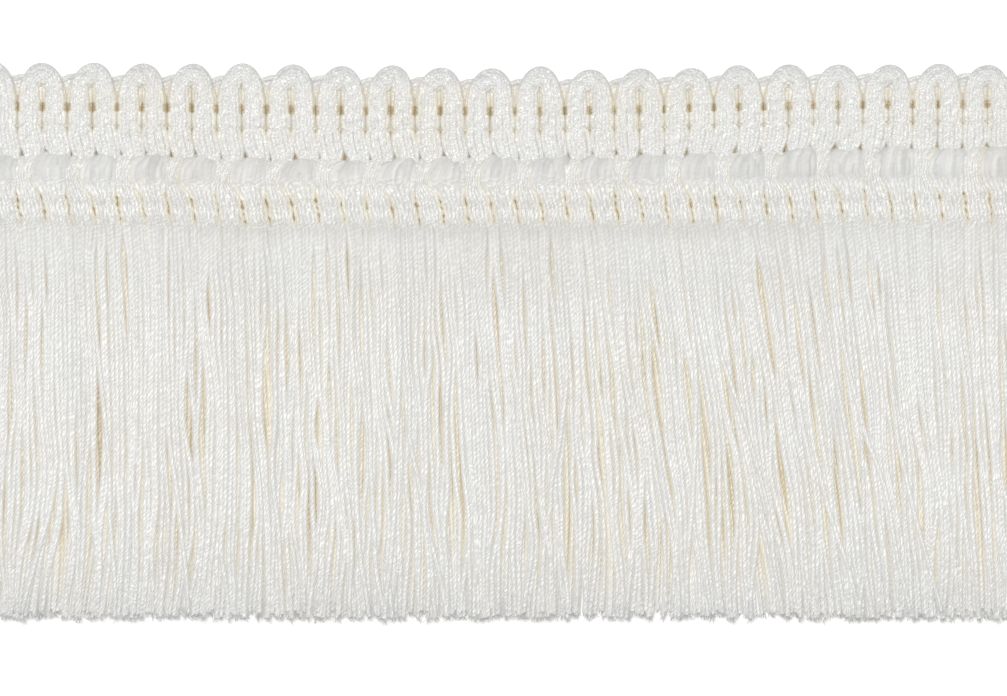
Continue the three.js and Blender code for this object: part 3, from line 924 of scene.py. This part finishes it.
def top_strands(rng):
    """The strands that show: over the band, down through their bundle and on to the hem."""
    paths, tips = Paths(), []
    parts = partings(rng, TOP_PARTINGS, TOP_HEM_PARTINGS, LEGS * TOP_LANES, 2.6)
    waving = waves(rng, *WAVES)
    to_foot = np.append(HEADING_Y, FOOT_Y)
    weft_top = np.interp(HEADING_Y, WEFT_Y[::-1], WEFT_Z[::-1])
    edges = [slit_line(index, to_foot) for index in range(LEGS + 1)]
    for bundle in range(LEGS):
        left, left_gap = edges[bundle]
        right, right_gap = edges[bundle + 1]
        width = right - left - left_gap - right_gap
        span = width / TOP_LANES
        # every other half bundle lies smooth and wide over the band, the ones between are slanted and fine
        smooth = bundle % 2 == 1
        band = 0.95 if smooth else 0.1
        over_band = np.interp(to_foot, OVER_BAND_Y, OVER_BAND_SMOOTH if smooth else OVER_BAND_SLANTED)
        for number in range(TOP_LANES):
            lane = bundle * TOP_LANES + number
            share = (number + 0.5) / TOP_LANES
            beside_slit = number in (0, TOP_LANES - 1)
            x = left + left_gap + width * share
            x = x + 0.07 * np.sin(to_foot * 3.1 + rng.uniform(0, 6.3))
            tone = rng.random()
            top_edge = rng.uniform(-0.4, 0.3)
            narrow = np.interp(to_foot, SLIT_SIDE_Y, SLIT_SIDE_WIDTH) if beside_slit else 1.0
            radius = np.clip(span * (over_band * narrow), 0.17, 1.0)

            even = slit_x(0) + (lane + 0.5) * LEG_PITCH / TOP_LANES + FOOT_SLANT * 3.5
            length = FOOT_Y - HEM_Y + rng.uniform(-0.5, 0.4)
            down = np.linspace(0, length, 29)
            stray = rng.random() < STRAY_SHARE
            skirt = skirt_strand(even, lane, down, rng, parts, waving, SWING, stray)
            gather = np.clip(1 - down / 4.5, 0, 1) ** 2
            skirt = skirt + (x[-1] - even) * gather
            px = np.concatenate((x[:-1], skirt))

            edge_share = np.clip((HEADING_Y - 18.2) / 1.4, 0, 1)
            py = np.concatenate((HEADING_Y + top_edge * edge_share, FOOT_Y - down))
            py = py + drift(px, py)

            crown = 0.12 * math.sin(math.pi * share) + rng.uniform(-0.06, 0.06)
            heading_z = weft_top - FLATNESS * radius[:-1] + crown - 0.15
            rest = TOP_REST + 0.12 * rng.random() + (0.25 if stray else 0)
            start_z = WEFT_Z[-1] - FLATNESS * radius[-1] + crown - 0.15
            skirt_z = start_z + (rest - start_z) * soft_step(down / 10) + 0.06 * np.sin(down / 3 + 7 * tone)
            skirt_z = skirt_z - 0.35 * np.clip((down - 36) / 6, 0, 1)
            pz = np.concatenate((heading_z, skirt_z))

            size = YARN_RADIUS * (0.88 + 0.2 * rng.random())
            settle = np.clip(down / 6, 0, 1)
            radii = np.concatenate((radius[:-1], radius[-1] * (1 - settle) + size * settle))

            plain = np.interp(py, PLAIN_Y, (0, 0.05, 0.25, 0.75, 0.1, 0, 0.3 * band, band, band, 0.8 * band))
            # painted shade: cream on the strands beside the slits and on the last lane of a slanted bundle
            edge = 0.28 if beside_slit else 0.0
            sway = 0.3 if (not smooth and number == TOP_LANES - 1) else 0.03
            depth = np.interp(py, DEPTH_Y, (0, 0.03, edge, edge, sway, sway, sway))
            wool = np.interp(py, WOOL_Y, WOOL) * (1 - plain)
            # painted shade: grey at the hem, more on some strands than others, and a little over the band
            grey = (0.1 + 1.7 * tone) * hem_grey(np.append(0 * HEADING_Y, down))
            grey = 0.15 * plain * (py > 12.5) + grey
            paths.add(np.stack((px, py, pz), axis=1), radii, tone, depth, plain, wool, grey)
            # painted shade: grey at the cut ends
            tips.append((px[-1], py[-1], pz[-1], tone, 0.0, TIP_GREY))
    return paths, tips


def lower_strands(rng, lanes, radius, rest, under_weft, depth, part_count, hem_count):
    """A layer under the strands that show, which fills the gaps between them."""
    paths, tips = Paths(), []
    count = LEGS * lanes
    parts = partings(rng, part_count, hem_count, count, 3.0)
    waving = waves(rng, *WAVES)
    high = UNDER_BAND_Y if under_weft else UNDER_FOOT_Y
    for lane in range(count):
        x0 = slit_x(0) + (lane + 0.5) * LENGTH / count
        length = FOOT_Y - HEM_Y + rng.uniform(-0.8, 0.4)
        down = np.concatenate((FOOT_Y - high, np.linspace(0, length, 26)))
        in_skirt = np.clip(down, 0, None)
        stray = rng.random() < UNDER_STRAY_SHARE
        x = skirt_strand(x0, lane, in_skirt, rng, parts, waving, UNDER_SWING, stray)
        y = FOOT_Y - down
        top = np.interp(y, WEFT_Y[::-1], WEFT_Z[::-1]) - under_weft if under_weft else rest
        z = top + (rest - top) * soft_step(in_skirt / 10) + 0.04 * rng.random()
        # painted shade: dark in the slits above the foot, paler down the skirt and at the cut ends, grey at
        # the hem and at the tips
        slit = (y > FOOT_Y + 0.2) & (y < 16.2) & (lane % lanes in (0, lanes - 1))
        tone = rng.random()
        own = depth + 0.14 * (rng.random() - 0.5)
        own = own + 0.08 * np.sin(down / rng.uniform(3, 7) + rng.uniform(0, 6.3))
        own = np.where(slit, 0.88, own * np.interp(down, (33, 41), (1.0, 0.2))) * painted_shade_inside(x0)
        y = y + drift(x, y)
        radii = radius * (0.94 + 0.16 * rng.random())
        paths.add(np.stack((x, y, z), axis=1), radii, tone, own, grey=hem_grey(down))
        tips.append((x[-1], y[-1], z[-1], tone, 0.0, TIP_GREY))
    return paths, tips


def tip_mesh(tips):
    """Mesh with a point at each cut end."""
    tips = np.array(tips)
    made = bpy.data.meshes.new("cut ends")
    made.vertices.add(len(tips))
    made.vertices.foreach_set("co", (tips[:, :3] * MM).astype(np.float32).ravel())
    for column, word in ((3, "tone"), (4, "depth"), (5, "grey")):
        layer = made.attributes.new(word, "FLOAT", "POINT")
        layer.data.foreach_set("value", tips[:, column].astype(np.float32))
    made.update()
    return made


# Settings, operators and panel


class FringeSizes(bpy.types.PropertyGroup):
    """Sizes of the yarns, the fibres and the view"""

    yarn_sides: bpy.props.IntProperty(
        name="Yarn Sides", description="Sides of a yarn's section", default=6, min=3, max=12)
    turn_length: bpy.props.FloatProperty(
        name="Turn Length", description="Length of a full turn of the plies", default=0.0019, unit="LENGTH")
    relief: bpy.props.FloatProperty(
        name="Relief", description="Height of the plies on a yarn", default=0.00005, unit="LENGTH")
    flatness: bpy.props.FloatProperty(
        name="Flatness", description="Height of a yarn's section over its width", default=FLATNESS,
        min=0.1, max=1.0, subtype="FACTOR")
    fibres: bpy.props.IntProperty(
        name="Fibres", description="Loose fibres at each cut end", default=7, min=0, max=20)
    fibre_length: bpy.props.FloatProperty(
        name="Fibre Length", description="Length of a loose fibre", default=0.0006, unit="LENGTH")
    fibre_radius: bpy.props.FloatProperty(
        name="Fibre Radius", description="Radius of a loose fibre", default=0.00003, unit="LENGTH")
    fibre_curl: bpy.props.FloatProperty(
        name="Fibre Curl", description="How far a loose fibre bends", default=0.0009, unit="LENGTH")
    camera_lens: bpy.props.FloatProperty(
        name="Lens", description="Focal length of the camera, in millimetres", default=120.0,
        unit="CAMERA")
    view_width: bpy.props.FloatProperty(
        name="View Width", description="Length of trim in the picture", default=0.10946, unit="LENGTH")


class FringeColours(bpy.types.PropertyGroup):
    """Colours of the yarn, of its painted shade and of the floor"""

    ivory: bpy.props.FloatVectorProperty(
        name="Ivory", description="Yarn in the light", default=(0.935, 0.93, 0.905), subtype="COLOR")
    # painted shade: the yarn's colour low in the pile, between its strands and at their sides
    cream: bpy.props.FloatVectorProperty(
        name="Cream", description="Yarn low in the pile", default=(0.91, 0.85, 0.71), subtype="COLOR")
    # painted deep shade: the yarn's colour behind the bound rows, in the holes and the slits
    ochre: bpy.props.FloatVectorProperty(
        name="Ochre", description="Yarn behind the bound rows", default=(0.57, 0.44, 0.23), subtype="COLOR")
    floor: bpy.props.FloatVectorProperty(
        name="Floor", description="Surface under the trim", default=(0.97, 0.97, 0.97), subtype="COLOR")


def sizes():
    """Sizes that the panel shows."""
    return bpy.context.scene.fringe_sizes


def colours():
    """Colours that the panel shows."""
    return bpy.context.scene.fringe_colours


def flat_yarns(name, paths, material, sides):
    """Object of yarns with a flattened section."""
    return grown(name, paths.mesh(name), yarn_tree(), {
        "Sides": sides, "Flatness": sizes().flatness, "Material": yarn_material(material)})


class FRINGE_OT_front_loops(bpy.types.Operator):
    """Lays the yarns of the front loop cord, which make the scallops"""

    bl_idname = "fringe.front_loops"
    bl_label = "Front Loops"

    def execute(self, context):
        paths = loop_yarns_front(np.random.default_rng(FRONT_SEED))
        piece = flat_yarns("front_loop_yarns", paths, "viscose loop yarn", sizes().yarn_sides)
        fixed(piece, "loop_cord", "front_loop_cord")
        return {"FINISHED"}


class FRINGE_OT_back_loops(bpy.types.Operator):
    """Lays the yarns of the back loop cord, which fill the dips between the scallops"""

    bl_idname = "fringe.back_loops"
    bl_label = "Back Loops"

    def execute(self, context):
        paths = loop_yarns_back(np.random.default_rng(BACK_SEED))
        piece = flat_yarns("back_loop_yarns", paths, "viscose loop yarn", sizes().yarn_sides)
        fixed(piece, "loop_cord", "back_loop_cord")
        return {"FINISHED"}


class FRINGE_OT_row_threads(bpy.types.Operator):
    """Winds the fine threads that bind the rows of the heading"""

    bl_idname = "fringe.row_threads"
    bl_label = "Row Threads"

    def execute(self, context):
        paths = row_threads(np.random.default_rng(THREAD_SEED))
        piece = grown("row_threads", paths.mesh("thread paths"), yarn_tree(), {
            "Sides": 5, "Material": yarn_material("viscose loop yarn")})
        fixed(piece, "binding_thread", "binding_thread_upper", "binding_thread_middle",
              "binding_thread_lower", "binding_thread_foot")
        return {"FINISHED"}


class FRINGE_OT_fringe(bpy.types.Operator):
    """Lays the core and the three layers of the fringe weft, and frays its cut ends"""

    bl_idname = "fringe.fringe"
    bl_label = "Fringe"

    def execute(self, context):
        upper, upper_tips = top_strands(np.random.default_rng(UPPER_SEED))
        middle, middle_tips = lower_strands(np.random.default_rng(MIDDLE_SEED), **MIDDLE_LAYER)
        lower, lower_tips = lower_strands(np.random.default_rng(LOWER_SEED), **LOWER_LAYER)
        for name, paths, sides in (
            ("fringe_core_yarns", core_yarns(np.random.default_rng(CORE_SEED)), 6),
            ("fringe_yarns_upper", upper, sizes().yarn_sides),
            ("fringe_yarns_middle", middle, 5),
            ("fringe_yarns_lower", lower, 6),
        ):
            piece = flat_yarns(name, paths, "viscose fringe yarn", sides)
            fixed(piece, "fringe_yarn", "fringe_skirt")
        tips = tip_mesh(upper_tips + middle_tips + lower_tips)
        piece = grown("cut_end_fibres", tips, fibre_tree(), {
            "Fibres": sizes().fibres, "Length": sizes().fibre_length, "Radius": sizes().fibre_radius,
            "Curl": sizes().fibre_curl, "Material": yarn_material("loose viscose fibre")})
        fixed(piece, "fringe_yarn", "fringe_skirt")
        return {"FINISHED"}


class FRINGE_OT_stage(bpy.types.Operator):
    """Lays the pale floor and sets the soft light and the camera"""

    bl_idname = "fringe.stage"
    bl_label = "Stage"

    def execute(self, context):
        scene = bpy.context.scene
        half = FLOOR_HALF
        corners = [(-half, -half, 0), (half, -half, 0), (half, half, 0), (-half, half, 0)]
        mesh = bpy.data.meshes.new("floor")
        mesh.from_pydata(corners, [], [(0, 1, 2, 3)])
        floor = placed("floor", mesh)
        paint = bpy.data.materials.new("pale floor")
        paint.use_nodes = True
        shader = paint.node_tree.nodes["Principled BSDF"]
        shader.inputs["Base Color"].default_value = (*colours().floor, 1)
        shader.inputs["Roughness"].default_value = 0.9
        mesh.materials.append(paint)

        world = bpy.data.worlds.new("soft room")
        world.use_nodes = True
        background = world.node_tree.nodes["Background"]
        background.inputs["Color"].default_value = (1, 1, 1, 1)
        background.inputs["Strength"].default_value = ROOM_LIGHT
        scene.world = world

        lamp = bpy.data.lights.new("overhead light", "AREA")
        lamp.energy = LAMP_POWER
        lamp.size = LAMP_SIZE
        light = placed("overhead light", lamp)
        light.location = LAMP_PLACE
        aim = -light.location
        light.rotation_euler = aim.to_track_quat("-Z", "Y").to_euler()

        camera = placed("camera", bpy.data.cameras.new("camera"))
        camera.data.lens = sizes().camera_lens
        camera.data.sensor_width = SENSOR_WIDTH
        away = sizes().camera_lens / SENSOR_WIDTH * sizes().view_width
        camera.location = (CAMERA_OFF[0] * MM, CAMERA_OFF[1] * MM, away + FOCUS_Z * MM)
        camera.data.clip_start = 0.01
        scene.camera = camera
        scene.view_settings.view_transform = "Standard"
        return {"FINISHED"}


OPERATORS = (
    FRINGE_OT_front_loops,
    FRINGE_OT_back_loops,
    FRINGE_OT_row_threads,
    FRINGE_OT_fringe,
    FRINGE_OT_stage,
)


class FRINGE_PT_panel(bpy.types.Panel):
    """Sizes, colours and the steps that build the trim"""

    bl_idname = "FRINGE_PT_panel"
    bl_label = "Brush Fringe"
    bl_space_type = "VIEW_3D"
    bl_region_type = "UI"
    bl_category = "Fringe"

    def draw(self, context):
        for group in (context.scene.fringe_sizes, context.scene.fringe_colours):
            for name in group.__annotations__:
                self.layout.prop(group, name)
        for operator in OPERATORS:
            self.layout.operator(operator.bl_idname)


CLASSES = (FringeSizes, FringeColours, *OPERATORS, FRINGE_PT_panel)


def register():
    for made in CLASSES:
        bpy.utils.register_class(made)
    bpy.types.Scene.fringe_sizes = bpy.props.PointerProperty(type=FringeSizes)
    bpy.types.Scene.fringe_colours = bpy.props.PointerProperty(type=FringeColours)


def unregister():
    del bpy.types.Scene.fringe_colours
    del bpy.types.Scene.fringe_sizes
    for made in reversed(CLASSES):
        bpy.utils.unregister_class(made)


def main():
    register()
    bpy.ops.fringe.front_loops()
    bpy.ops.fringe.back_loops()
    bpy.ops.fringe.row_threads()
    bpy.ops.fringe.fringe()
    bpy.ops.fringe.stage()


if __name__ == "__main__":
    main()
